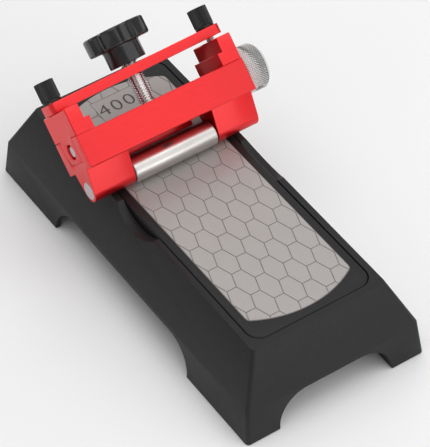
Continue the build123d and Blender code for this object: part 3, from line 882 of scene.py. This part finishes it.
# straight ribs round a drum
def makeRibTree():
    tree, given = startTree("ribs", {"Radius": "Float", "Rib": "Float", "Count": "Int", "Length": "Float",
                                     "Start": "Float"})
    index = addNode(tree, "GeometryNodeInputIndex").outputs[0]
    angle = mathNode(tree, "MULTIPLY", mathNode(tree, "DIVIDE", index, given["Count"]), fullTurn)
    middle = mathNode(tree, "ADD", given["Start"], mathNode(tree, "MULTIPLY", given["Length"], 0.5))
    outward = addNode(tree, "ShaderNodeCombineXYZ", {0: mathNode(tree, "COSINE", angle),
                                                     1: mathNode(tree, "SINE", angle)}).outputs[0]
    ring = addNode(tree, "ShaderNodeVectorMath", {0: outward, "Scale": given["Radius"]}, operation="SCALE")
    lift = addNode(tree, "ShaderNodeCombineXYZ", {2: middle})
    spot = addNode(tree, "ShaderNodeVectorMath", {0: ring.outputs[0], 1: lift.outputs[0]})
    points = addNode(tree, "GeometryNodePoints", {"Count": given["Count"], "Position": spot.outputs[0]})
    halfRib = mathNode(tree, "MULTIPLY", given["Rib"], 0.64)
    rib = addNode(tree, "GeometryNodeMeshCylinder", {"Vertices": 4, "Radius": halfRib,
                                                     "Depth": given["Length"]})
    turn = addNode(tree, "ShaderNodeCombineXYZ", {2: angle})
    ribs = addNode(tree, "GeometryNodeInstanceOnPoints", {"Points": points.outputs[0],
                                                          "Instance": rib.outputs["Mesh"],
                                                          "Rotation": turn.outputs[0]})
    endTree(tree, ribs.outputs[0], thumbBlack)
    return tree


ribTree = makeRibTree()
for hand in ("left", "right"):
    place = placeOfJoint("thumb_" + hand + "_turn")
    studLow, studHigh = span("thumb_stud_" + hand, place)
    stud = rodWithThread(place, studLow.z, studHigh.z, thumbRadius(studLow.z, studHigh.z),
                         thumbLook["sides"], thumbLook["ring"])
    settle(hand + "ThumbStud", asMesh(hand + "ThumbStud", stud), "thumb_stud_" + hand,
           [brightZinc])
    low, high = span("thumb_head_" + hand, place)
    head = makeThumbHead(place, low, high, studHigh.z)
    settle(hand + "ThumbHead", asMesh(hand + "ThumbHead", head), "thumb_head_" + hand,
           [thumbBlack])
    ribs = grow(hand + "ThumbRibs", ribTree, bpy.data.meshes.new("ribSeed"),
                {"Radius": high.x - thumbLook["ribDepth"] - thumbLook["ribSink"],
                 "Rib": thumbLook["rib"], "Count": thumbLook["ribs"],
                 "Length": high.z - low.z - thumbLook["ribShort"],
                 "Start": low.z + thumbLook["ribStart"]}, place)
    settle(hand + "ThumbRibs", ribs, "thumb_head_" + hand, [thumbBlack], hides=False)
    low, high = span("thumb_washer_" + hand, place)
    bore = thumbLook["washerBore"]
    corners = [(bore, low.z), (high.x, low.z), (high.x, high.z), (bore, high.z)]
    washer = turned(place, rounded(corners, thumbLook["washerSoft"], 2), 64, closed=True)
    settle(hand + "Washer", asMesh(hand + "Washer", washer), "thumb_washer_" + hand,
           [darkOxide])
print("thumb screws ready")


clampLook = {"crest": 4.0, "root": 3.32, "pitch": 1.25, "chamfer": 0.7, "ring": 0.125, "sides": 48,
             "intoKnob": 0.4, "tipChamfer": 0.4, "tipSoft": 0.2}


def clampRadius(low, high):
    def radiusAt(height, turn):
        ridge = ridgeAt(height, turn, clampLook["pitch"], 1)
        radius = clampLook["root"] + (clampLook["crest"] - clampLook["root"]) * ridge
        return min(radius, clampLook["crest"] - clampLook["chamfer"] + min(height - low, high - height))
    return radiusAt


starLook = {"height": 9.0, "lobes": 6, "scallop": 4.4, "centre": 17.0, "melt": 0.9, "edge": 1.1,
            "dome": 0.35, "sides": 240, "stemRadius": 8.9, "stemSoft": 0.5, "flare": 0.8, "flareMid": 0.25}


# outline radius at an angle: a disc with round scallops, their corners melted together
def starRadius(angle, outer):
    step = fullTurn / starLook["lobes"]
    offset = (angle + step / 2) % step - step / 2
    reach = starLook["centre"] * math.sin(offset)
    if abs(reach) >= starLook["scallop"]:
        return outer
    inner = starLook["centre"] * math.cos(offset) - math.sqrt(starLook["scallop"] ** 2 - reach ** 2)
    melt = starLook["melt"]
    mix = max(0.0, min(1.0, 0.5 + 0.5 * (outer - inner) / melt))
    return outer * (1 - mix) + inner * mix - melt * mix * (1 - mix)


def makeStarKnob(place, low, high, bottom):
    edge, outer, sides = starLook["edge"], high.x, starLook["sides"]
    stem, soft, flare, flareMid = (starLook[key] for key in ("stemRadius", "stemSoft", "flare", "flareMid"))
    shoulder = high.z - starLook["dome"]
    # layers are (size, height, kind): 0 a plain circle, 1 the lobed outline less a size, 2 a share of it
    layers = [(stem - soft, low.z, 0), (stem - 0.12, low.z + 0.15, 0), (stem, low.z + soft, 0),
              (stem, bottom - flare, 0), (stem + flareMid, bottom - flareMid, 0), (stem + flare, bottom, 0)]
    for turn in range(5):
        lean = math.radians(90 * turn / 4)
        layers.append((edge * (1 - math.sin(lean)), bottom + edge * (1 - math.cos(lean)), 1))
    for turn in range(5):
        lean = math.radians(90 * turn / 4)
        layers.append((edge * (1 - math.cos(lean)), shoulder - edge * (1 - math.sin(lean)), 1))
    for share in (0.8, 0.55, 0.3):
        layers.append((share, high.z - starLook["dome"] * share ** 2, 2))
    bm = bmesh.new()
    rings = []
    for size, height, kind in layers:
        ring = []
        for side in range(sides):
            angle = fullTurn * side / sides
            lobe = starRadius(angle, outer)
            radius = size if kind == 0 else lobe - size if kind == 1 else (lobe - edge) * size
            ring.append(bm.verts.new(place @ Vector((radius * math.cos(angle), radius * math.sin(angle),
                                                     height))))
        rings.append(ring)
    for lower, upper in zip(rings, rings[1:]):
        for side in range(sides):
            after = (side + 1) % sides
            bm.faces.new([lower[side], lower[after], upper[after], upper[side]])
    bm.faces.new(rings[0])
    crown = bm.verts.new(place @ Vector((0, 0, high.z)))
    for side in range(sides):
        bm.faces.new([rings[-1][side], rings[-1][(side + 1) % sides], crown])
    return bm


low, high = span("clamp_screw", clampPlace)
starLow, starHigh = span("star_knob", clampPlace)
shank = rodWithThread(clampPlace, low.z, starLow.z + clampLook["intoKnob"], clampRadius(low.z, high.z),
                      clampLook["sides"], clampLook["ring"])
settle("clampScrew", asMesh("clampScrew", shank), "clamp_screw", [brightZinc])
star = makeStarKnob(clampPlace, starLow, starHigh, starHigh.z - starLook["height"])
settle("starKnob", asMesh("starKnob", star), "star_knob", [blackKnob], sharp=40)
low, high = span("clamp_tip", clampPlace)
chamfer = clampLook["tipChamfer"]
corners = [(0, low.z), (high.x - chamfer, low.z), (high.x, low.z + chamfer), (high.x, high.z), (0, high.z)]
tip = turned(clampPlace, rounded(corners, clampLook["tipSoft"], 2), 64)
settle("clampTip", asMesh("clampTip", tip), "clamp_tip", [turnedSteel])
print("clamp ready")
